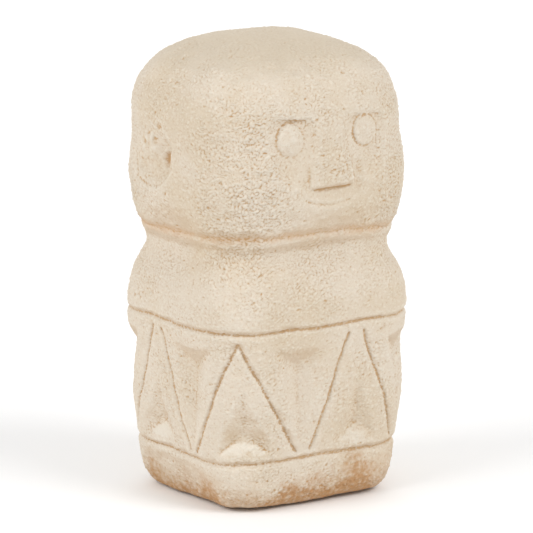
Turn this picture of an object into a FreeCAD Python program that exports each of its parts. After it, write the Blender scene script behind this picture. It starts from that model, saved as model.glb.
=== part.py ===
"""Tiki figure: one carved block of pale limestone standing on four felt pads.

Frame: millimetres, +Z up, the face looks along -Y, and the origin is under the middle of the
figure, on the surface that it stands on. The stone is drawn up from its own foot plane, and its
Placement lifts it onto the pads.
"""
import FreeCAD, Part
import math
import os

import Sketcher

Vector = FreeCAD.Vector
Rotation = FreeCAD.Rotation
Placement = FreeCAD.Placement

doc = FreeCAD.newDocument("TikiFigure")

# ---------------------------------------------------------------------------------------------
# Driving dimensions: alias, value, meaning. Levels are heights above the foot plane.
# ---------------------------------------------------------------------------------------------
SIZES = (
    ("depth_ratio", 0.90, "front-to-back size of the block over its width"),
    ("torso_round", 0.46, "corner radius over half width, from hem to neck"),
    ("foot_depth_ratio", 0.96, "front-to-back size of the foot over its width"),
    ("foot_round", 0.38, "corner radius over half width, on the foot"),
    ("head_round", 0.555, "corner radius over half width, on the head"),
    ("crown_lean", 2.8, "how far back the top of the head leans, from the cheeks up"),
    ("line_width", 2.0, "width of an incised line"),
    ("line_depth", 1.7, "depth of an incised line"),
    ("hem_line_level", 25.8, "middle of the line above the foot"),
    ("shoulder_line_level", 96.3, "middle of the line under the shoulders"),
    ("legs_foot_level", 29.0, "where the legs of the triangles end"),
    ("legs_top_level", 91.5, "where the legs of the triangles start"),
    ("chip_half_width", 17.0, "half the wide edge of a chip-carved hollow"),
    ("chip_depth", 5.2, "depth of a chip-carved hollow"),
    ("chip_steep_run", 10.8, "from a hollow's wide edge to its deepest point"),
    ("rise_edge_level", 30.2, "wide edge of the hollows that point up"),
    ("rise_length", 36.5, "length of the hollows that point up"),
    ("drop_edge_level", 86.0, "wide edge of the hollows that point down"),
    ("drop_length", 50.0, "length of the hollows that point down"),
    ("eye_spacing", 47.5, "between the middles of the eyes"),
    ("eye_level", 196.1, "middle of the eyes, on average"),
    ("eye_tilt", 0.9, "how much higher the eye on +X is, and how much lower the other one"),
    ("eye_radius", 8.2, "radius of an eye disc"),
    ("brow_level", 206.2, "edge over the eyes"),
    ("socket_width", 29.0, "width of an eye socket along the brow"),
    ("socket_height", 24.0, "height of an eye socket, brow to its lower end"),
    ("socket_depth", 2.2, "depth of an eye socket under the brow"),
    ("eye_line_width", 1.4, "width of the groove round an eye"),
    ("nose_top_width", 22.0, "width of the nose at the brow"),
    ("nose_foot_width", 27.0, "width of the nose at its bottom edge"),
    ("nose_foot_level", 170.2, "bottom edge of the nose"),
    ("nose_relief", 2.4, "how far the nose stands over the cuts round it"),
    ("cheek_cut_width", 8.0, "width of the smooth cut beside the nose"),
    ("cheek_cut_drop", 4.0, "how far below the middle of the nose the middle of that cut is"),
    ("lip_cut_width", 44.0, "width of the smooth cut below the nose"),
    ("lip_cut_height", 9.0, "height of the smooth cut below the nose"),
    ("mouth_level", 160.6, "lowest point of the mouth line"),
    ("mouth_width", 29.0, "length of the mouth line, end to end"),
    ("mouth_rise", 3.1, "rise of the mouth line towards its ends"),
    ("mouth_turn", 4.5, "how far the mouth line is turned, in degrees, its end on -X upwards"),
    ("mouth_line_width", 1.6, "width of the mouth line"),
    ("ear_level", 182.8, "deepest point of the ear hollow"),
    ("ear_forward", 4.0, "how far in front of the middle that point is"),
    ("ear_depth", 5.5, "depth of the ear hollow"),
    ("pad_radius", 10.0, "radius of a felt pad"),
    ("pad_thickness", 1.5, "thickness of a felt pad"),
    ("pad_across", 56.0, "between pad middles, left to right"),
    ("pad_along", 48.0, "between pad middles, front to back"),
)

# Level sections of the block: name, height above the foot plane, half width.
FOOT = (
    ("foot", 0.0, 48.0),
    ("foot_edge", 3.2, 51.2),
    ("ankle", 10.0, 54.0),
)
TORSO = FOOT + (
    ("hem", 26.0, 59.4),
    ("skirt", 50.0, 62.0),
    ("waist", 78.0, 63.0),
    ("shoulder", 108.0, 63.8),
    ("shoulder_top", 118.0, 61.4),
    ("nape", 126.0, 57.8),
    ("neck", 138.0, 56.6),
)
HEAD = (
    ("jaw", 146.5, 61.4),
    ("chin", 155.0, 63.2),
    ("cheek", 178.0, 64.8),
    ("eye_line", 198.0, 63.2),
)

# Over the eyes the head closes as a full, low dome: a superellipse from the last head section.
CROWN_RISE = 45.2
CROWN_FULLNESS = 2.55
CROWN_STEPS = (16, 32, 46, 58, 69, 79, 87)  # degrees round the dome


def crown_sections():
    _, base, half = HEAD[-1]
    power = 2 / CROWN_FULLNESS
    for step in CROWN_STEPS:
        angle = math.radians(step)
        height = base + CROWN_RISE * math.sin(angle) ** power
        yield "crown_%d" % step, round(height, 2), round(half * math.cos(angle) ** power, 2)


HEAD += tuple(crown_sections())
TOP = HEAD[-1][0]

# The six incised triangles, cut by hand and so not quite even. Places are along the waist from
# the middle of the front, towards +X: left foot, left and right side of the apex, right foot.
TRIANGLES = (
    (-146, -121, -114, -90),
    (-84, -54, -54, -19),
    (-10, 13, 22, 50),
    (58, 88, 93, 122),
    (130, 160, 166, 195),
    (203, 237, 241, 276),
)

# Outline of an ear hollow round its deepest point: steps towards the back of the head and up.
EAR_OUTLINE = ((-5, 9), (7, 19), (20, 14), (28, 4), (26, -5), (19, -11), (8, -17), (-1, -10))

sheet = doc.addObject("Spreadsheet::Sheet", "Sizes")


def add_cell(cell, alias, value):
    sheet.set(cell, str(value))
    sheet.setAlias(cell, alias)


for row, (alias, value, meaning) in enumerate(SIZES, start=1):
    sheet.set("A%d" % row, meaning)
    add_cell("B%d" % row, alias, value)
for row, (name, height, half) in enumerate(TORSO + HEAD, start=len(SIZES) + 1):
    sheet.set("A%d" % row, "section of the block: height, half width")
    add_cell("B%d" % row, name + "_height", height)
    add_cell("C%d" % row, name + "_half", half)
doc.recompute()


def size(alias):
    return float(sheet.get(alias))


# ---------------------------------------------------------------------------------------------
# The surface of the torso, for the carving that is laid out round it.
# ---------------------------------------------------------------------------------------------
def half_width_at(height):
    """Half width of the block between two of its sections."""
    names = [name for name, _, _ in TORSO + HEAD]
    for lower, upper in zip(names, names[1:]):
        start, end = size(lower + "_height"), size(upper + "_height")
        if height <= end:
            part_way = (height - start) / (end - start)
            return size(lower + "_half") * (1 - part_way) + size(upper + "_half") * part_way
    return size(names[-1] + "_half")


def perimeter():
    """Length round the waist section."""
    half = size("waist_half")
    radius = half * size("torso_round")
    straight = 4 * (half - radius) + 4 * (half * size("depth_ratio") - radius)
    return straight + 2 * math.pi * radius


def on_torso(along, height):
    """Point and outward direction at a height, along the waist from the middle of the front."""
    half = half_width_at(height)
    radius = half * size("torso_round")
    flat_front = half - radius
    flat_side = half * size("depth_ratio") - radius
    quarter = flat_front + radius * math.pi / 2 + flat_side
    along = along * half / size("waist_half")
    side = 1 if along >= 0 else -1
    along = abs(along)
    if along > 2 * quarter:
        along = 4 * quarter - along
        side = -side
    back = along > quarter
    if back:
        along = 2 * quarter - along
    turn = min(max((along - flat_front) / radius, 0), math.pi / 2)
    across = min(along, flat_front) + radius * math.sin(turn)
    ahead = flat_side + radius * math.cos(turn)
    if turn == math.pi / 2:
        ahead -= along - flat_front - radius * math.pi / 2
    sense = 1 if back else -1
    point = Vector(side * across, sense * ahead, height)
    normal = Vector(side * math.sin(turn), sense * math.cos(turn), 0)
    return point, normal


# ---------------------------------------------------------------------------------------------
# Sketches and lofts of the block.
# ---------------------------------------------------------------------------------------------
def plane_of(body, role):
    return [feature for feature in body.Origin.OriginFeatures if feature.Role == role][0]


# How much of the lean of the crown a section of the head has.
LEAN_SHARE = "(Sizes.%s_height - Sizes.cheek_height) / (Sizes." + TOP + "_height - Sizes.cheek_height)"


def level_sketch(body, name, height):
    sketch = body.newObject("Sketcher::SketchObject", name)
    sketch.AttachmentSupport = (plane_of(body, "XY_Plane"), "")
    sketch.MapMode = "FlatFace"
    sketch.setExpression(".AttachmentOffset.Base.z", height)
    return sketch


def style(name):
    """Which roundness and which depth ratio a section has."""
    if name in [section[0] for section in FOOT]:
        return "foot_round", "foot_depth_ratio"
    if name in [section[0] for section in HEAD]:
        return "head_round", "depth_ratio"
    return "torso_round", "depth_ratio"


def rounded_section(body, name, label, inset):
    """Rounded rectangle at one level of the block, smaller all round by the inset."""
    sketch = level_sketch(body, label, "Sizes.%s_height" % name)
    if size(name + "_height") > size("cheek_height"):
        sketch.setExpression(".AttachmentOffset.Base.y", "Sizes.crown_lean * 1mm * " + LEAN_SHARE % name)
    round_alias, ratio_alias = style(name)
    half = size(name + "_half")
    radius = half * size(round_alias)
    x, y = half, half * size(ratio_alias)
    a, b = x - radius, y - radius
    lines = ((-a, -y, a, -y), (x, -b, x, b), (a, y, -a, y), (-x, b, -x, -b))
    for x1, y1, x2, y2 in lines:
        sketch.addGeometry(Part.LineSegment(Vector(x1, y1, 0), Vector(x2, y2, 0)), False)
    centres = ((a, -b, -90), (a, b, 0), (-a, b, 90), (-a, -b, 180))
    for cx, cy, start in centres:
        circle = Part.Circle(Vector(cx, cy, 0), Vector(0, 0, 1), radius)
        arc = Part.ArcOfCircle(circle, math.radians(start), math.radians(start + 90))
        sketch.addGeometry(arc, False)
    for corner in range(4):
        arc = 4 + corner
        sketch.addConstraint(Sketcher.Constraint("Tangent", corner, 2, arc, 1))
        sketch.addConstraint(Sketcher.Constraint("Tangent", arc, 2, (corner + 1) % 4, 1))
    sketch.addConstraint(Sketcher.Constraint("Horizontal", 0))
    sketch.addConstraint(Sketcher.Constraint("Vertical", 1))
    for arc in (5, 6, 7):
        sketch.addConstraint(Sketcher.Constraint("Equal", 4, arc))
    sketch.addConstraint(Sketcher.Constraint("Symmetric", 4, 3, 6, 3, -1, 1))
    terms = {"half": "Sizes.%s_half" % name, "ratio": "Sizes." + ratio_alias,
             "round": "Sizes." + round_alias, "inset": inset}
    dimensions = (
        ("radius", Sketcher.Constraint("Radius", 4, radius),
         "({half} * {round} - {inset}) * 1mm"),
        ("straight_x", Sketcher.Constraint("DistanceX", 0, 1, 0, 2, 2 * a),
         "2 * {half} * (1 - {round}) * 1mm"),
        ("straight_y", Sketcher.Constraint("DistanceY", 1, 1, 1, 2, 2 * b),
         "2 * {half} * ({ratio} - {round}) * 1mm"),
    )
    for dimension, constraint, rule in dimensions:
        index = sketch.addConstraint(constraint)
        sketch.renameConstraint(index, dimension)
        sketch.setExpression("Constraints." + dimension, rule.format(**terms))
    return sketch


def loft(body, label, sketches):
    feature = body.newObject("PartDesign::AdditiveLoft", label)
    feature.Profile = sketches[0]
    feature.Sections = sketches[1:]
    feature.Ruled = False
    return feature


def block_body(label, with_head, inset):
    """The dressed block before carving, or its core that the incised lines go down to."""
    body = doc.addObject("PartDesign::Body", label)
    torso = [rounded_section(body, name, label + "_" + name, inset) for name, _, _ in TORSO]
    loft(body, label + "_torso", torso)
    if with_head:
        head = [rounded_section(body, name, label + "_" + name, inset) for name, _, _ in HEAD]
        loft(body, label + "_head", torso[-1:] + head)
    return body


block = block_body("block", True, "0")
core = block_body("core", False, "Sizes.line_depth")


# ---------------------------------------------------------------------------------------------
# Incised lines: thin blades that go in as far as the core of the block.
# ---------------------------------------------------------------------------------------------
REACH = 200.0  # the level sheets and the space of the nose run well past the stone
BLADE_REACH = 14.0  # how far a triangle's blade runs into the stone, and out of it
SIDES = (("left", -1), ("right", 1))


def slab(label, level):
    """A level sheet as thick as an incised line is wide."""
    box = doc.addObject("Part::Box", label)
    box.Length = REACH
    box.Width = REACH
    box.setExpression("Height", "Sizes.line_width * 1mm")
    box.Placement.Base = Vector(-REACH / 2, -REACH / 2, 0)
    box.setExpression("Placement.Base.z", "(Sizes.%s - Sizes.line_width / 2) * 1mm" % level)
    return box


def blade(label, top_along, foot_along):
    """An upright sheet through one leg of a triangle, square to the stone."""
    top, top_normal = on_torso(top_along, size("legs_top_level"))
    foot, foot_normal = on_torso(foot_along, size("legs_foot_level"))
    downhill = foot - top
    across = downhill.cross(top_normal + foot_normal).normalize()
    outward = across.cross(downhill).normalize()
    box = doc.addObject("Part::Box", label)
    box.setExpression("Length", "Sizes.line_width * 1mm")
    box.Width = 2 * BLADE_REACH
    box.Height = downhill.Length
    turn = Rotation(across, outward, downhill.normalize(), "ZXY")
    corner = Vector(-size("line_width") / 2, -BLADE_REACH, 0)
    box.Placement = Placement(top + turn.multVec(corner), turn)
    return box


def triangle_blades():
    blades = []
    for number, (left_foot, left_apex, right_apex, right_foot) in enumerate(TRIANGLES, start=1):
        blades.append(blade("leg_left_%d" % number, left_apex, left_foot))
        blades.append(blade("leg_right_%d" % number, right_apex, right_foot))
    return blades


def combined(kind, label, shapes):
    result = doc.addObject(kind, label)
    if kind == "Part::Cut":
        result.Base, result.Tool = shapes
    else:
        result.Shapes = shapes
    return result


# ---------------------------------------------------------------------------------------------
# Hollows: each is a pit whose flat facets run from its outline down to one deepest point.
# ---------------------------------------------------------------------------------------------
PIT_SPREAD = 1.8  # a pit's facets carry on outwards past the stone, so that it cuts clean


def hollow(label, outline, deepest):
    """Star-shaped pit from an outline on the stone to its deepest point."""
    spread = [deepest + (point - deepest) * PIT_SPREAD for point in outline]
    middle = sum(spread, Vector()) * (1.0 / len(spread))
    faces = []
    for start, end in zip(spread, spread[1:] + spread[:1]):
        faces.append(Part.Face(Part.makePolygon([deepest, start, end, deepest])))
        faces.append(Part.Face(Part.makePolygon([middle, end, start, middle])))
    solid = Part.makeSolid(Part.makeShell(faces))
    if solid.Volume < 0:
        solid.reverse()
    pit = doc.addObject("Part::Feature", label)
    pit.Shape = solid
    return pit


ROUND_STEPS = 5  # an edge that goes round a corner of the block follows it in this many steps


def chip(label, middle, edge_level, run, length):
    """Three-facet hollow with a wide level edge; run and length go up or down from that edge."""
    half = size("chip_half_width")
    corners = ((middle - half, edge_level), (middle + half, edge_level),
               (middle, edge_level + length))
    outline = []
    for (along, level), (next_along, next_level) in zip(corners, corners[1:] + corners[:1]):
        turned = on_torso(along, level)[1] != on_torso(next_along, next_level)[1]
        steps = ROUND_STEPS if turned else 1
        for step in range(steps):
            part_way = step / steps
            point, _ = on_torso(along + (next_along - along) * part_way,
                                level + (next_level - level) * part_way)
            outline.append(point)
    bottom, normal = on_torso(middle, edge_level + run)
    return hollow(label, outline, bottom - normal * size("chip_depth"))


def chips():
    """A hollow that points up in each triangle, and one that points down in each gap."""
    run = size("chip_steep_run")
    pits = []
    for index, (left_foot, _, right_apex, right_foot) in enumerate(TRIANGLES):
        number = index + 1
        following = TRIANGLES[number % len(TRIANGLES)]
        turn = perimeter() if number == len(TRIANGLES) else 0
        gap = (right_foot, right_apex, following[0] + turn, following[1] + turn)
        pits.append(chip("rise_%d" % number, (left_foot + right_foot) / 2,
                         size("rise_edge_level"), run, size("rise_length")))
        pits.append(chip("drop_%d" % number, sum(gap) / len(gap), size("drop_edge_level"),
                         -run, -size("drop_length")))
    return pits


def ear(label, side):
    """Leaf-shaped hollow on one side of the head."""
    level = size("ear_level")
    surface = half_width_at(level)
    outline = [Vector(side * surface, back - size("ear_forward"), level + up)
               for back, up in EAR_OUTLINE]
    inside = Vector(side * (surface - size("ear_depth")), -size("ear_forward"), level)
    return hollow("ear_" + label, outline, inside)


# ---------------------------------------------------------------------------------------------
# The face: two sockets with an eye disc left standing in each, the cut round the nose, and the
# mouth line.
# ---------------------------------------------------------------------------------------------
def face_depth(level):
    """How far in front of the middle the face is."""
    cheek, top = size("cheek_height"), size(TOP + "_height")
    lean = size("crown_lean") * max(level - cheek, 0) / (top - cheek)
    return half_width_at(level) * size("depth_ratio") - lean


LENS = 4.0  # a scoop's radius into the stone over its depth
UPRIGHT = Rotation(Vector(1, 0, 0), 90)  # turns a shape's own Z axis to face forwards


def scoop(label, middle, width, depth, height, lower_half):
    """Shallow lens-shaped cut into the face that fades out at its rim.

    Its middle is in front of the face by all but the depth, as with a gouge of a large radius.
    """
    thickness = LENS * depth
    rim = math.sqrt(1 - (1 - 1 / LENS) ** 2)
    cut = doc.addObject("Part::Ellipsoid", label)
    cut.Radius1 = height / rim
    cut.Radius2 = width / 2 / rim
    cut.Radius3 = thickness
    if lower_half:
        cut.Angle2 = 0
    cut.Placement.Base = middle - Vector(0, thickness - depth, 0)
    return cut


def eye_middle_level(side):
    return size("eye_level") + side * size("eye_tilt")


def socket(label, side):
    """Cut that is deepest under the brow, less the eye disc that is left standing in it."""
    across = side * size("eye_spacing") / 2
    brow = Vector(across, -face_depth(size("brow_level")), size("brow_level"))
    bowl = scoop("socket_bowl_" + label, brow, size("socket_width"), size("socket_depth"),
                 size("socket_height"), True)
    disc = doc.addObject("Part::Cylinder", "eye_disc_" + label)
    disc.setExpression("Radius", "Sizes.eye_radius * 1mm")
    disc.Height = face_depth(size("brow_level"))
    disc.Placement = Placement(Vector(across, 0, eye_middle_level(side)), UPRIGHT)
    return combined("Part::Cut", "socket_" + label, (bowl, disc))


def eye_line(label, side):
    """Groove round an eye disc."""
    ring = doc.addObject("Part::Torus", "eye_line_" + label)
    ring.setExpression("Radius1", "Sizes.eye_radius * 1mm")
    ring.setExpression("Radius2", "Sizes.eye_line_width / 2 * 1mm")
    middle = Vector(side * size("eye_spacing") / 2, -face_depth(size("brow_level")),
                    eye_middle_level(side))
    ring.Placement = Placement(middle, UPRIGHT)
    return ring


CHEEK_CUT_REACH = 0.6  # from the middle of a cheek cut to its end, over the length of the nose


def cheek_cuts():
    """Smooth cuts down both sides of the nose, which is left standing between them."""
    foot, top = size("nose_foot_level"), size("brow_level")
    level = (top + foot) / 2 - size("cheek_cut_drop")
    cuts = [scoop("cheek_cut_" + label,
                  Vector(side * size("nose_foot_width") / 2, -face_depth(level), level),
                  2 * size("cheek_cut_width"), size("nose_relief"), (top - foot) * CHEEK_CUT_REACH, False)
            for label, side in SIDES]
    return combined("Part::Cut", "cheek_cuts_less_nose",
                    (combined("Part::MultiFuse", "cheek_cuts", cuts), nose_block()))


def nose_block():
    """The space of the nose, narrower at the brow; it runs on below the bottom edge."""
    nose = doc.addObject("Part::Wedge", "nose")
    top, foot = size("brow_level"), size("nose_foot_level")
    flare = (size("nose_foot_width") - size("nose_top_width")) / (top - foot)
    run_on = size("lip_cut_height")
    foot_half = (size("nose_foot_width") + flare * run_on) / 2
    nose.Xmin, nose.Xmax = -foot_half, foot_half
    nose.X2min, nose.X2max = -size("nose_top_width") / 2, size("nose_top_width") / 2
    nose.Ymin, nose.Ymax = 0, top - foot + run_on
    nose.Zmin, nose.Zmax = 0, REACH
    nose.Z2min, nose.Z2max = 0, REACH
    nose.Placement = Placement(Vector(0, 0, foot - run_on), UPRIGHT)
    return nose


def lip_cut():
    """Smooth cut below the nose, which makes its bottom edge."""
    foot = size("nose_foot_level")
    return scoop("lip_cut", Vector(0, -face_depth(foot), foot), size("lip_cut_width"),
                 size("nose_relief"), size("lip_cut_height"), True)


def mouth():
    """Smile line: part of a thin ring that stands on the face."""
    half, rise = size("mouth_width") / 2, size("mouth_rise")
    bend = (half * half + rise * rise) / (2 * rise)
    opening = math.degrees(math.asin(half / bend))
    ring = doc.addObject("Part::Torus", "mouth_line")
    ring.Radius1 = bend
    ring.setExpression("Radius2", "Sizes.mouth_line_width / 2 * 1mm")
    ring.Angle3 = 2 * opening
    turned = UPRIGHT.multiply(Rotation(Vector(0, 0, 1), -90 - opening - size("mouth_turn")))
    level = size("mouth_level")
    ring.Placement = Placement(Vector(0, -face_depth(level), level + bend), turned)
    return ring


# ---------------------------------------------------------------------------------------------
# The two kinds of sub-part.
# ---------------------------------------------------------------------------------------------
def stone_figure():
    blades = [slab("hem_slab", "hem_line_level"), slab("shoulder_slab", "shoulder_line_level"),
              *triangle_blades()]
    lines = combined("Part::Cut", "incised_lines",
                     (combined("Part::MultiFuse", "line_blades", blades), core))
    pits = chips() + [ear(label, side) for label, side in SIDES]
    sockets = [socket(label, side) for label, side in SIDES]
    fine_lines = [eye_line(label, side) for label, side in SIDES] + [mouth()]
    cuts = (
        lines,
        combined("Part::MultiFuse", "pits", pits),
        combined("Part::MultiFuse", "sockets_and_lip", sockets + [lip_cut()]),
        cheek_cuts(),
        combined("Part::MultiFuse", "fine_lines", fine_lines),
    )
    stone = block
    for cut in cuts:
        label = "stone_figure" if cut is cuts[-1] else "block_after_" + cut.Label
        stone = combined("Part::Cut", label, (stone, cut))
    stone.setExpression("Placement.Base.z", "Sizes.pad_thickness * 1mm")
    return stone


def felt_pad(label, across, along):
    body = doc.addObject("PartDesign::Body", label)
    sketch = body.newObject("Sketcher::SketchObject", label + "_outline")
    sketch.AttachmentSupport = (plane_of(body, "XY_Plane"), "")
    sketch.MapMode = "FlatFace"
    sketch.addGeometry(Part.Circle(Vector(0, 0, 0), Vector(0, 0, 1), size("pad_radius")), False)
    sketch.addConstraint(Sketcher.Constraint("Coincident", 0, 3, -1, 1))
    sketch.addConstraint(Sketcher.Constraint("Radius", 0, size("pad_radius")))
    sketch.setExpression("Constraints[1]", "Sizes.pad_radius * 1mm")
    pad = body.newObject("PartDesign::Pad", label + "_felt")
    pad.Profile = sketch
    pad.setExpression("Length", "Sizes.pad_thickness * 1mm")
    body.setExpression("Placement.Base.x", "%d * Sizes.pad_across / 2 * 1mm" % across)
    body.setExpression("Placement.Base.y", "%d * Sizes.pad_along / 2 * 1mm" % along)
    return body


sub_parts = [stone_figure()]
for front_or_back, along in (("front", -1), ("back", 1)):
    for left_or_right, across in SIDES:
        label = "pad_%s_%s" % (front_or_back, left_or_right)
        sub_parts.append(felt_pad(label, across, along))
doc.recompute()

# ---------------------------------------------------------------------------------------------
# Checks, then one STEP file for each sub-part.
# ---------------------------------------------------------------------------------------------
for thing in doc.Objects:
    if "Invalid" in thing.State or "Error" in thing.State:
        raise RuntimeError("%s did not recompute: %s" % (thing.Label, thing.State))
os.makedirs("parts", exist_ok=True)
for part in sub_parts:
    if part.Shape.isNull() or not part.Shape.isValid() or len(part.Shape.Solids) != 1:
        raise RuntimeError("%s is not one valid solid" % part.Label)
    part.Shape.exportStep("parts/%s.step" % part.Label)
    print("%s: %.1f cm3" % (part.Label, part.Shape.Volume / 1000))
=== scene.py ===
"""The looks of the carved tiki figure: pale pecked stone on four felt discs, made from its CAD part.

Lengths are in metres, in the frame of the CAD part: +Z up the figure, and the face looks along -Y.
"""
import itertools
import math

import bmesh
import bpy
import numpy as np
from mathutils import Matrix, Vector


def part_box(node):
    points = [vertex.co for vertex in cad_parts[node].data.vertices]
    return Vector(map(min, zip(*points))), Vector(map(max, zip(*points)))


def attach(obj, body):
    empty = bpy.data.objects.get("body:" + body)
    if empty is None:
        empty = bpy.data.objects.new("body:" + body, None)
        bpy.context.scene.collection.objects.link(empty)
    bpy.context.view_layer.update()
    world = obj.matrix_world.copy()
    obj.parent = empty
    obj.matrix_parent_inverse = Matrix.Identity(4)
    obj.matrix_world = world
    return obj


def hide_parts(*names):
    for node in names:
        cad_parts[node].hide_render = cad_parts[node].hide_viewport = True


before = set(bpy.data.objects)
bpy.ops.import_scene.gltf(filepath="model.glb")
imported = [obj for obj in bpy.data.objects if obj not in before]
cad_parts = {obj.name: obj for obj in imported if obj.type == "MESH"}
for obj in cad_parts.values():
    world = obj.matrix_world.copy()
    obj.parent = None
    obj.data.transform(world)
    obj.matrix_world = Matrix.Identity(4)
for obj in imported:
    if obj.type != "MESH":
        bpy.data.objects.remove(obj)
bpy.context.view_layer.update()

MM = 0.001
LOW = np.array(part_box("stone_figure")[0])
FOOT = LOW[2]


# ---------------------------------------------------------------- camera, floor and light

AZIMUTH = math.radians(-34.6)
ELEVATION = math.radians(11.75)
CAMERA_DISTANCE = 2.2407
LOOK_AT = Vector((0, 0, 0.119))
LENS = 285.3
SKY_LIGHT = 0.62
SKY_SEEN = 1.0
FLOOR_HALF = 12.0
FLOOR_WHITE = 0.97


def from_angle(azimuth, elevation):
    """The direction from the figure towards a viewer at this azimuth and elevation."""
    flat = math.cos(elevation)
    return Vector((math.sin(azimuth) * flat, -math.cos(azimuth) * flat, math.sin(elevation)))


def add_object(name, data):
    made = bpy.data.objects.new(name, data)
    bpy.context.scene.collection.objects.link(made)
    return made


def aim(thing, target):
    thing.rotation_mode = "QUATERNION"
    thing.rotation_quaternion = (Vector(target) - thing.location).to_track_quat("-Z", "Y")


def make_camera():
    camera = add_object("camera", bpy.data.cameras.new("camera"))
    camera.data.lens = LENS
    camera.data.sensor_width = 36
    camera.data.clip_start = 0.05
    camera.data.clip_end = 60
    camera.location = LOOK_AT + CAMERA_DISTANCE * from_angle(AZIMUTH, ELEVATION)
    aim(camera, LOOK_AT)
    bpy.context.scene.camera = camera


def soft_sun(name, azimuth, elevation, strength, spread):
    """Even light from one side, as soft as its spread in degrees is wide."""
    light = add_object(name, bpy.data.lights.new(name, "SUN"))
    light.data.energy = strength
    light.data.angle = math.radians(spread)
    light.location = LOOK_AT + from_angle(math.radians(azimuth), math.radians(elevation))
    aim(light, LOOK_AT)


def make_studio():
    """A pale floor, soft light from both sides in front and some from behind.

    The surroundings light the figure with less than full white, but are seen as white themselves.
    """
    world = bpy.data.worlds.new("studio")
    world.use_nodes = True
    background = world.node_tree.nodes["Background"]
    background.inputs["Color"].default_value = (1, 1, 1, 1)
    sight = world.node_tree.nodes.new("ShaderNodeLightPath")
    strength = world.node_tree.nodes.new("ShaderNodeMapRange")
    strength.inputs["To Min"].default_value = SKY_LIGHT
    strength.inputs["To Max"].default_value = SKY_SEEN
    world.node_tree.links.new(sight.outputs["Is Camera Ray"], strength.inputs["Value"])
    world.node_tree.links.new(strength.outputs["Result"], background.inputs["Strength"])
    bpy.context.scene.world = world
    bpy.context.scene.view_settings.view_transform = "Standard"
    soft_sun("key_left", azimuth=-92, elevation=36, strength=1.12, spread=40)
    soft_sun("key_right", azimuth=22, elevation=42, strength=1.15, spread=30)
    soft_sun("back_fill", azimuth=146, elevation=12, strength=1.0, spread=60)

    mesh = bpy.data.meshes.new("floor")
    half = FLOOR_HALF
    corners = [(-half, -half, 0), (half, -half, 0), (half, half, 0), (-half, half, 0)]
    mesh.from_pydata(corners, [], [(0, 1, 2, 3)])
    floor = add_object("floor", mesh)
    material = bpy.data.materials.new("pale_floor")
    material.use_nodes = True
    shader = material.node_tree.nodes["Principled BSDF"]
    shader.inputs["Base Color"].default_value = (FLOOR_WHITE, FLOOR_WHITE, FLOOR_WHITE, 1)
    shader.inputs["Roughness"].default_value = 0.9
    mesh.materials.append(material)


# ---------------------------------------------------------------- smooth random fields

LATTICE = 64  # the field repeats after this many lumps


def noise(points, size, seed, stretch=(1, 1, 1)):
    """A smooth random field, about -1 to 1, whose lumps are this size, times stretch along each axis."""
    slopes = np.random.default_rng(seed).normal(size=(LATTICE**3, 3)).astype(np.float32)
    slopes /= np.linalg.norm(slopes, axis=1, keepdims=True)
    place = points / (size * np.array(stretch)) + 100.0
    cell = np.floor(place).astype(np.int32)
    x, y, z = (place - cell).astype(np.float32).T
    fade = [value**3 * (value * (6 * value - 15) + 10) for value in (x, y, z)]
    total = np.zeros(len(points), np.float32)
    for i, j, k in itertools.product((0, 1), repeat=3):
        corner = (cell + (i, j, k)) % LATTICE
        index = (corner[:, 0] * LATTICE + corner[:, 1]) * LATTICE + corner[:, 2]
        slope = slopes.take(index, axis=0)
        share = 1.0
        for step, amount in zip((i, j, k), fade):
            share = share * (amount if step else 1 - amount)
        total += share * ((x - i) * slope[:, 0] + (y - j) * slope[:, 1] + (z - k) * slope[:, 2])
    return total * 1.6


def layered(points, size, seed, layers, stretch=(1, 1, 1)):
    """Noise with finer and fainter noise on top."""
    total = np.zeros(len(points))
    for layer in range(layers):
        total += noise(points, size / 2**layer, seed + layer, stretch) / 2**layer
    return total


def rise(values, start, end):
    """0 below start, 1 above end, and smooth between them."""
    share = np.clip((values - start) / (end - start), 0, 1)
    return share * share * (3 - 2 * share)


# ---------------------------------------------------------------- meshes

def finished_copy(source, name, voxel):
    """A closed, evenly meshed copy of a CAD solid."""
    copy = add_object(name, source.data.copy())
    copy.data.materials.clear()
    remesh = copy.modifiers.new("even_mesh", "REMESH")
    remesh.mode = "VOXEL"
    remesh.voxel_size = voxel
    remesh.adaptivity = 0
    graph = bpy.context.evaluated_depsgraph_get()
    even = bpy.data.meshes.new_from_object(copy.evaluated_get(graph))
    copy.modifiers.clear()
    copy.data = even
    return copy


def read_points(mesh):
    flat = np.empty(len(mesh.vertices) * 3, np.float32)
    mesh.vertices.foreach_get("co", flat)
    return flat.reshape(-1, 3).astype(float)


def write_points(mesh, points):
    mesh.vertices.foreach_set("co", points.astype(np.float32).ravel())
    mesh.update()


def read_normals(mesh):
    flat = np.empty(len(mesh.vertices) * 3, np.float32)
    mesh.vertices.foreach_get("normal", flat)
    return flat.reshape(-1, 3).astype(float)


class Neighbours:
    """The edges of a mesh, for averaging a value over each point's neighbours."""

    def __init__(self, mesh):
        flat = np.empty(len(mesh.edges) * 2, np.int32)
        mesh.edges.foreach_get("vertices", flat)
        pairs = flat.reshape(-1, 2)
        self.here = np.concatenate((pairs[:, 0], pairs[:, 1]))
        self.there = np.concatenate((pairs[:, 1], pairs[:, 0]))
        self.size = len(mesh.vertices)
        self.number = np.bincount(self.here, minlength=self.size)[:, None]

    def average(self, values):
        columns = [np.bincount(self.here, weights=column[self.there], minlength=self.size)
                   for column in values.T]
        return np.stack(columns, axis=1) / self.number

    def smoothed(self, values, times, share=0.5):
        for _ in range(times):
            values = values + share * (self.average(values) - values)
        return values


def write_attribute(mesh, name, values):
    mesh.attributes.new(name, "FLOAT", "POINT").data.foreach_set("value", values.astype(np.float32))


# ---------------------------------------------------------------- the stone

VOXEL = 0.55 * MM

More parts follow.
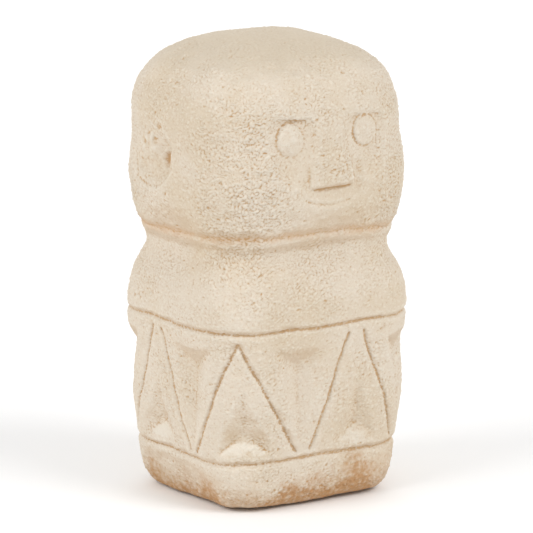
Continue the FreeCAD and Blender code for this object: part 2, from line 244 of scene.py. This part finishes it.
# Places of the carving, as in the part: levels above the foot, and distances from the middle.
NECK_CREASE = 144 * MM
EYE_LEVEL = 196.1 * MM
EYE_TILT = 0.9 * MM
EYE_ACROSS = 23.75 * MM
EYE_RADIUS = 8.2 * MM
BROW_LEVEL = 206.2 * MM
NOSE_FOOT = 170.2 * MM
NOSE_HALF = 13.5 * MM
MOUTH_LEVEL = 160.6 * MM
MOUTH_HALF = 14.5 * MM
MOUTH_RISE = 3.1 * MM
MOUTH_SHIFT = 2.8 * MM
EAR_LEVEL = 183 * MM
EAR_BACK = 9.5 * MM
EAR_SPOT_AHEAD = 9 * MM  # from the middle of the ear to its deepest spot
EAR_SPOT_DOWN = 1.5 * MM


def near(points, place, reach):
    """1 at a place and 0 beyond reach of it; reach may be one length or one for each axis."""
    distance = np.linalg.norm((points - np.array(place)) / np.array(reach), axis=1)
    return 1 - rise(distance, 0.2, 1.0)


def ridge(distance, width):
    """1 where the distance is 0, fading to 0 at half the width on both sides."""
    return 1 - rise(np.abs(distance), 0.0, width / 2)


def hand_wobble(points, calm):
    """Uneven carving: every line and edge wanders a little, less so on the face."""
    moved = points.copy()
    waves = ((34 * MM, 0.9 * MM, 11), (12 * MM, 0.45 * MM, 31), (5 * MM, 0.16 * MM, 51))
    for size, amount, seed in waves:
        for axis in range(3):
            moved[:, axis] += amount * (1 - 0.6 * calm) * noise(points, size, seed + axis)
    return moved


def face_carving(points):
    """Depth to add to the eyes, nose and mouth, and a pit on one side of the nose."""
    across, up = points[:, 0], points[:, 2] - FOOT
    depth = np.zeros(len(points))
    uneven = 0.7 + 0.5 * noise(points, 9 * MM, 61)
    for side in (-1, 1):
        from_eye = np.hypot(across - side * EYE_ACROSS, up - EYE_LEVEL - side * EYE_TILT)
        upper = rise((up - EYE_LEVEL - across + side * EYE_ACROSS) / EYE_RADIUS, -1.4, 1.4)
        depth += (0.4 + 0.7 * upper) * MM * uneven * ridge(from_eye - EYE_RADIUS, 2.6 * MM)
        lumps = 0.8 + 0.7 * noise(points, 4.5 * MM, 67)
        depth -= lumps * MM * (1 - rise(from_eye, 0, EYE_RADIUS))
    foot = NOSE_FOOT - 1 * MM + 2.5 * MM * (across / NOSE_HALF) ** 4
    under_nose = ridge(up - foot, 4.5 * MM)
    under_nose *= 1 - rise(np.abs(across), NOSE_HALF - 3 * MM, NOSE_HALF + 1 * MM)
    smile = ridge(up - MOUTH_LEVEL - MOUTH_RISE * (across / MOUTH_HALF) ** 2, 2.4 * MM)
    smile *= 1 - rise(np.abs(across + MOUTH_SHIFT), MOUTH_HALF - 4 * MM, MOUTH_HALF + 1 * MM)
    pit = 1 - rise(np.hypot((across - NOSE_HALF - 5 * MM) * 1.6, up - NOSE_FOOT - 8 * MM), 1 * MM, 6 * MM)
    return depth + (0.7 * under_nose + 0.45 * uneven * smile + 0.9 * pit) * MM


def ear_carving(points, side):
    """Depth of one ear: a leaf-shaped shell, deepest near its front, with a rough lobe above."""
    back, up = points[:, 1] - EAR_BACK, points[:, 2] - FOOT - EAR_LEVEL
    leaf = np.hypot(back / (18.5 * MM), up / (19 * MM)) + 0.18 * np.abs(up) / (19 * MM)
    leaf += 0.1 * noise(points, 8 * MM, 63)
    inside = 1 - rise(leaf, 0.6, 1.08)
    depth = 1.6 * MM * inside
    depth += 2.4 * MM * (1 - rise(np.hypot(back + EAR_SPOT_AHEAD, up + EAR_SPOT_DOWN), 0, 5 * MM))
    depth += 1.2 * MM * (1 - rise(np.hypot(back + 6 * MM, up - 16 * MM), 0, 4 * MM))
    lobe = (1 - rise(np.hypot((back - 6 * MM) * 0.8, up - 6 * MM), 3 * MM, 12 * MM)) * inside
    depth -= (1.6 + 1.3 * noise(points, 4 * MM, 65)) * MM * lobe
    depth += 0.6 * MM * ridge(leaf - 1.0, 0.26) * rise(-up, -2 * MM, 6 * MM)
    return depth * rise(side * points[:, 0], 48 * MM, 54 * MM)


def above_crease(points):
    """Height above the crease under the head, which wanders up and down a little."""
    return points[:, 2] - FOOT - NECK_CREASE - 1.6 * MM * noise(points, 40 * MM, 7)


def crease_depth(points):
    """Depth of the soft crease under the head."""
    level = above_crease(points)
    return 0.9 * MM * ridge(level, 9 * MM) + 0.2 * MM * ridge(level + 0.5 * MM, 3.5 * MM)


def bowed(points):
    """Outward swell of the four flat sides of the head, so that they are no planes."""
    up = points[:, 2] - FOOT
    height = rise(up, 142 * MM, 165 * MM) * (1 - rise(up, 205 * MM, 238 * MM))
    swollen = points.copy()
    for along, out, span, amount in ((0, 1, 50 * MM, 3.2 * MM), (1, 0, 45 * MM, 2.6 * MM)):
        share = np.clip(points[:, along] / span, -1, 1)
        side = np.sign(points[:, out]) * rise(np.abs(points[:, out]), 25 * MM, 50 * MM)
        swollen[:, out] += amount * np.cos(share * math.pi / 2) ** 2 * side * height
    return swollen


def softened(points, normals, neighbours):
    """Rounds the cut edges, apart from the narrow lines, and eases the brows and the nose."""
    crisp = neighbours.smoothed(points, 4)
    soft = neighbours.smoothed(crisp, 26)
    sunk = ((soft - crisp) * normals).sum(axis=1)
    narrow = neighbours.smoothed(rise(sunk, 0.18 * MM, 0.4 * MM)[:, None], 6)
    narrow = rise(narrow, 0.05, 0.5)
    eased = soft + narrow * (crisp - soft)
    flat = neighbours.smoothed(soft, 70)
    brow = FOOT + BROW_LEVEL
    right = near(points, (EYE_ACROSS + 1 * MM, LOW[1], brow), (19 * MM, 20 * MM, 9 * MM))
    left = near(points, (-EYE_ACROSS - 9 * MM, LOW[1], brow), (9 * MM, 20 * MM, 6 * MM))
    nose_side = near(points, (-NOSE_HALF, LOW[1], FOOT + 182 * MM), (7 * MM, 20 * MM, 20 * MM))
    nose_edge = near(points, (0, LOW[1], FOOT + NOSE_FOOT + 1 * MM), (22 * MM, 20 * MM, 5 * MM))
    share = np.minimum(0.75 * right + 0.6 * left + 0.4 * nose_side + 0.35 * nose_edge, 0.8)
    return eased + share[:, None] * (flat - eased)


def pecked(points, normals, calm):
    """The stone's skin: shallow dents, crumbs that are wider than they are high, and a few pits."""
    up = points[:, 2] - FOOT
    corner = rise(np.abs(points[:, 0] * points[:, 1]) / (60 * MM * 54 * MM), 0.35, 0.75)
    patches = rise(layered(points, 24 * MM, 101, 2), -0.6, 0.7)
    rough = 0.45 + 0.4 * patches + 0.4 * corner * rise(up, 100 * MM, 150 * MM)
    rough += 0.5 * (1 - rise(up, 4 * MM, 16 * MM))
    rough *= 1 - 0.45 * calm
    coarse = layered(points, 5 * MM, 71, 2, (1.2, 1.2, 0.8))
    crumbs = np.abs(noise(points, 2.0 * MM, 81, (1.2, 1.2, 0.8)))
    crumbs += 0.7 * np.abs(noise(points, 1.2 * MM, 85, (1.1, 1.1, 0.85)))
    pits = rise(noise(points, 2.6 * MM, 95, (1.2, 1.2, 0.8)), 0.45, 0.85)
    height = rough * (0.25 * coarse + 0.84 * (crumbs - 0.6) - 0.4 * pits) * MM
    return points + normals * height[:, None], rough, pits


def foot_stain(points):
    """Brown ground stain along the lower edge: patchy, highest in front, and worn off the corners."""
    up = points[:, 2] - FOOT
    front = rise(-points[:, 1], 20 * MM, 50 * MM) * rise(points[:, 0], -25 * MM, 30 * MM)
    reach = 11 * MM + 8.5 * MM * front
    reach += 7 * MM * noise(points, 17 * MM, 111) + 3.5 * MM * layered(points, 4.5 * MM, 113, 2)
    corner = rise(np.abs(points[:, 0] * points[:, 1]) / (50 * MM * 46 * MM), 0.6, 0.85)
    patchy = 0.75 + 0.45 * layered(points, 2.4 * MM, 117, 2)
    return np.clip(rise(reach - up, -9 * MM, 9 * MM) * patchy * (1 - 0.5 * corner), 0, 1)


def crease_shade_and_dirt(points):
    """Patchy brown in the crease under the head and in the deepest spot of each ear: painted shade, with
    some brown grime in the crease.
    """
    level = above_crease(points)
    patchy = 0.6 + 0.5 * noise(points, 22 * MM, 121) + 0.4 * layered(points, 3 * MM, 123, 2)
    spot = (EAR_BACK - EAR_SPOT_AHEAD, FOOT + EAR_LEVEL - EAR_SPOT_DOWN)
    ears = 1 - rise(np.hypot(points[:, 1] - spot[0], points[:, 2] - spot[1]), 0, 7 * MM)
    ears *= 0.6 * rise(np.abs(points[:, 0]), 40 * MM, 48 * MM)
    return np.clip(ridge(level, 11 * MM) * patchy + ears, 0, 1)


def make_stone():
    figure = finished_copy(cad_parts["stone_figure"], "carved_stone", VOXEL)
    mesh = figure.data
    neighbours = Neighbours(mesh)
    normals = neighbours.smoothed(read_normals(mesh), 6)
    points = softened(read_points(mesh), normals, neighbours)
    up = points[:, 2] - FOOT
    front = rise(-normals[:, 1], 0.6, 0.85) * rise(up, 140 * MM, 146 * MM)
    depth = crease_depth(points) + face_carving(points) * front
    for side in (-1, 1):
        depth += ear_carving(points, side)
    points = bowed(points - normals * depth[:, None])
    calm = near(points, (0, LOW[1] + 4 * MM, FOOT + 182 * MM), (46 * MM, 30 * MM, 36 * MM))
    nose = 1 - rise(np.abs(points[:, 0]), NOSE_HALF - 3 * MM, NOSE_HALF)
    nose *= rise(up, NOSE_FOOT, NOSE_FOOT + 2 * MM) * (1 - rise(up, BROW_LEVEL, BROW_LEVEL + 9 * MM))
    nose *= rise(-points[:, 1], 30 * MM, 40 * MM)
    calm = 0.8 * calm * (1 - nose) - 0.9 * nose
    points = neighbours.smoothed(hand_wobble(points, np.maximum(calm, 0)), 1)
    write_points(mesh, points)
    skinned, rough, pits = pecked(points, neighbours.smoothed(read_normals(mesh), 4), calm)
    above_foot = rise(points[:, 2] - FOOT, 0.0, 4 * MM)[:, None]
    points = points + above_foot * (skinned - points)
    points[:, 2] = np.maximum(points[:, 2], FOOT)
    write_points(mesh, points)
    normals = neighbours.smoothed(read_normals(mesh), 6)
    fine = neighbours.smoothed(points, 12)
    wide = neighbours.smoothed(fine, 50)
    # How far the surface stands out or dips, finely and broadly; the material turns dips into painted
    # shade and raised parts into painted highlight.
    write_attribute(mesh, "fine_relief", ((points - fine) * normals).sum(axis=1) / MM)
    write_attribute(mesh, "wide_relief", ((fine - wide) * normals).sum(axis=1) / MM)
    facing_up = neighbours.smoothed(read_normals(mesh), 16)[:, 2]
    up = points[:, 2] - FOOT
    hollows = rise(up, 24 * MM, 30 * MM) * (1 - rise(up, 90 * MM, 94 * MM))
    # Painted light mask: upward-facing facets in the band of carved hollows.
    write_attribute(mesh, "painted_light_up", rise(facing_up, 0.12, 0.42) * hollows)
    # Painted shade mask for the top: upward-facing surfaces.
    write_attribute(mesh, "crown", rise(facing_up, 0.5, 1.0))
    # Painted shade mask: downward-facing surfaces below the nose, such as under the head and on the top
    # facets of the hollows.
    write_attribute(mesh, "painted_shade_under", rise(-facing_up, 0.12, 0.5) * (1 - rise(up, 170 * MM, 185 * MM)))
    write_attribute(mesh, "pits", pits * rough)
    write_attribute(mesh, "stain", foot_stain(points))
    # Mask for painted shade, with some brown grime, in the crease under the head and the deepest spot of
    # each ear.
    write_attribute(mesh, "crease", crease_shade_and_dirt(points))
    mesh.shade_smooth()
    mesh.materials.append(stone_material())
    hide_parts("stone_figure")
    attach(figure, "root")


# ---------------------------------------------------------------- materials

class Nodes:
    """Short calls for building a material out of shader nodes."""

    def __init__(self, name):
        self.material = bpy.data.materials.new(name)
        self.material.use_nodes = True
        self.tree = self.material.node_tree
        self.shader = self.tree.nodes["Principled BSDF"]

    def put(self, value, socket):
        """Links value into a socket, or sets it there when it is a plain number or colour."""
        if isinstance(value, bpy.types.NodeSocket):
            self.tree.links.new(value, socket)
        else:
            socket.default_value = value

    def node(self, kind, **settings):
        made = self.tree.nodes.new(kind)
        for key, value in settings.items():
            setattr(made, key, value)
        return made

    def place(self):
        return self.node("ShaderNodeTexCoord").outputs["Object"]

    def attribute(self, name):
        return self.node("ShaderNodeAttribute", attribute_name=name).outputs["Fac"]

    def noise(self, per_metre, detail=2.0, roughness=0.55):
        made = self.node("ShaderNodeTexNoise")
        self.put(self.place(), made.inputs["Vector"])
        self.put(per_metre, made.inputs["Scale"])
        self.put(detail, made.inputs["Detail"])
        self.put(roughness, made.inputs["Roughness"])
        return made.outputs["Fac"]

    def spread(self, value, low, high, out_low=0.0, out_high=1.0):
        """Value taken from low..high to out_low..out_high, smoothly and clamped."""
        made = self.node("ShaderNodeMapRange", interpolation_type="SMOOTHSTEP")
        self.put(value, made.inputs["Value"])
        limits = {"From Min": low, "From Max": high, "To Min": out_low, "To Max": out_high}
        for key, number in limits.items():
            self.put(number, made.inputs[key])
        return made.outputs["Result"]

    def mix(self, share, first, second):
        made = self.node("ShaderNodeMix", data_type="RGBA")
        self.put(share, made.inputs[0])
        self.put(first, made.inputs[6])
        self.put(second, made.inputs[7])
        return made.outputs[2]

    def bump(self, height, strength, depth):
        made = self.node("ShaderNodeBump")
        self.put(strength, made.inputs["Strength"])
        self.put(depth, made.inputs["Distance"])
        self.put(height, made.inputs["Height"])
        return made.outputs["Normal"]


def colour(red, green, blue):
    """A screen colour, 0 to 255, as the linear colour that a shader takes."""
    def linear(value):
        value = value / 255
        return value / 12.92 if value <= 0.04045 else ((value + 0.055) / 1.055) ** 2.4
    return (linear(red), linear(green), linear(blue), 1)


def stone_material():
    """Pale warm limestone: cream, mottled, brown along the foot and partly brown in its lines and
    creases, with painted shade in its lines, creases, hollows, undersides and on its top, and painted
    highlights on raised parts and up-facing facets.
    """
    m = Nodes("pale_stone")
    cream = colour(224, 211, 193)
    warm = colour(218, 202, 179)
    # A paler tone, for the random mottle and, below, for painted highlights and painted light.
    light = colour(235, 227, 213)
    # A brown for real specks and pits, also used below as painted shade in dips and on undersides.
    dirt_and_shade = colour(193, 157, 114)
    painted_top_shade = colour(206, 193, 173)
    # A darker brown, for the brown of the carved lines and for painted shade in the lines, the crease and
    # the ear hollows.
    brown_and_deep_shade = colour(208, 158, 104)
    stain = colour(188, 138, 86)

    broad = m.noise(20, 3)
    base = m.mix(m.spread(broad, 0.4, 0.68), cream, warm)
    mottle = m.noise(500, 4, 0.7)
    base = m.mix(m.spread(mottle, 0.5, 0.75, 0, 0.6), base, light)
    specks = m.noise(650, 3, 0.6)
    base = m.mix(m.spread(specks, 0.56, 0.72, 0, 0.36), base, dirt_and_shade)
    # Darker and browner where the pecked pits are dug.
    base = m.mix(m.spread(m.attribute("pits"), 0.1, 0.8, 0, 0.3), base, dirt_and_shade)
    fine = m.attribute("fine_relief")
    # Painted shade in the fine dips: carved lines and pecked dents turn darker and browner, together with
    # the brown that the lines hold.
    base = m.mix(m.spread(fine, -0.02, -0.25, 0, 0.75), base, dirt_and_shade)
    base = m.mix(m.spread(fine, -0.18, -0.45, 0, 0.7), base, brown_and_deep_shade)
    # Painted highlight: raised grain and the rims of the lines are made paler.
    base = m.mix(m.spread(fine, 0.02, 0.2, 0, 0.45), base, light)
    wide = m.attribute("wide_relief")
    # Painted shade in the broad carved hollows, and painted highlight on the broad ridges between them.
    base = m.mix(m.spread(wide, -0.12, -0.75, 0, 0.42), base, dirt_and_shade)
    base = m.mix(m.spread(wide, 0.1, 0.5, 0, 0.3), base, light)
    # Painted shade: downward-facing surfaces below the nose turn browner.
    base = m.mix(m.spread(m.attribute("painted_shade_under"), 0, 1, 0, 0.28), base, dirt_and_shade)
    # Painted light: upward-facing facets in the carved hollows of the skirt are made paler.
    base = m.mix(m.spread(m.attribute("painted_light_up"), 0, 1, 0, 0.75), base, light)
    # Painted shade on the top: upward-facing surfaces, most of all the crown of the head, are made darker
    # and greyer.
    base = m.mix(m.spread(m.attribute("crown"), 0, 1, 0, 0.65), base, painted_top_shade)
    # Patchy brown in the crease under the head and in the deepest spot of each ear: painted shade, with
    # some brown grime in the crease.
    base = m.mix(m.spread(m.attribute("crease"), 0, 1, 0, 0.36), base, brown_and_deep_shade)
    base = m.mix(m.spread(m.attribute("stain"), 0, 1, 0, 0.82), base, stain)
    m.put(base, m.shader.inputs["Base Color"])

    grain = m.noise(1000, 5, 0.75)
    m.put(m.spread(grain, 0.3, 0.7, 0.85, 0.98), m.shader.inputs["Roughness"])
    m.put(0.2, m.shader.inputs["Specular IOR Level"])
    m.put(m.bump(grain, 1.0, 0.55 * MM), m.shader.inputs["Normal"])
    return m.material


def felt_material():
    """Matt brown-grey felt, with fibres of slightly different colours."""
    m = Nodes("felt")
    fibres = m.noise(900, 5, 0.75)
    base = m.mix(m.spread(fibres, 0.35, 0.65), colour(112, 102, 88), colour(158, 147, 130))
    m.put(base, m.shader.inputs["Base Color"])
    m.put(1.0, m.shader.inputs["Roughness"])
    m.put(0.1, m.shader.inputs["Specular IOR Level"])
    m.put(m.bump(fibres, 0.6, 0.3 * MM), m.shader.inputs["Normal"])
    return m.material


# ---------------------------------------------------------------- the felt discs

PAD_RINGS = 9
PAD_SPOKES = 72
RIM_STEPS = 6  # across the rounded rim of a pad


def felt_disc(node, seed, material):
    """A soft-edged disc in the space of its CAD pad, with an uneven rim and a matted underside."""
    low, high = (np.array(corner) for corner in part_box(node))
    centre = (low + high) / 2
    radius = (high[0] - low[0]) / 2
    thickness = high[2] - low[2]
    shape = bmesh.new()
    rim_round = thickness * 0.45
    profile = [(radius - rim_round) * ring / PAD_RINGS for ring in range(1, PAD_RINGS + 1)]
    outline = [(reach, 0.0) for reach in profile]
    for step in range(1, RIM_STEPS):
        turn = math.pi * step / RIM_STEPS
        outline.append((radius - rim_round + rim_round * math.sin(turn), (1 - math.cos(turn)) / 2))
    outline += [(reach, 1.0) for reach in reversed(profile)]
    rings = []
    for reach, share in outline:
        ring = []
        for spoke in range(PAD_SPOKES):
            turn = 2 * math.pi * spoke / PAD_SPOKES
            ring.append(shape.verts.new((centre[0] + reach * math.cos(turn),
                                         centre[1] + reach * math.sin(turn),
                                         low[2] + thickness * share)))
        rings.append(ring)
    under = shape.verts.new((centre[0], centre[1], low[2]))
    over = shape.verts.new((centre[0], centre[1], high[2]))
    for spoke in range(PAD_SPOKES):
        after = (spoke + 1) % PAD_SPOKES
        shape.faces.new((under, rings[0][after], rings[0][spoke]))
        shape.faces.new((over, rings[-1][spoke], rings[-1][after]))
        for inner, outer in zip(rings, rings[1:]):
            shape.faces.new((inner[spoke], inner[after], outer[after], outer[spoke]))
    mesh = bpy.data.meshes.new(node + "_felt")
    shape.to_mesh(mesh)
    shape.free()
    points = read_points(mesh)
    away = points - centre
    away[:, 2] = 0
    reach = np.linalg.norm(away, axis=1, keepdims=True)
    fuzz = 0.03 * noise(points, 1.2 * MM, seed)[:, None] * rise(reach, radius * 0.7, radius)
    points += away * (fuzz - 0.03)
    points[:, 2] += 0.12 * MM * np.abs(noise(points, 1.5 * MM, seed + 9)) * (points[:, 2] < centre[2])
    write_points(mesh, points)
    mesh.shade_smooth()
    mesh.materials.append(material)
    disc = add_object("felt_" + node, mesh)
    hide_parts(node)
    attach(disc, "root")


# ---------------------------------------------------------------- the whole scene

make_camera()
make_studio()
make_stone()
felt = felt_material()
for number, pad in enumerate(sorted(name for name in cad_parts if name.startswith("pad_"))):
    felt_disc(pad, 200 + number, felt)
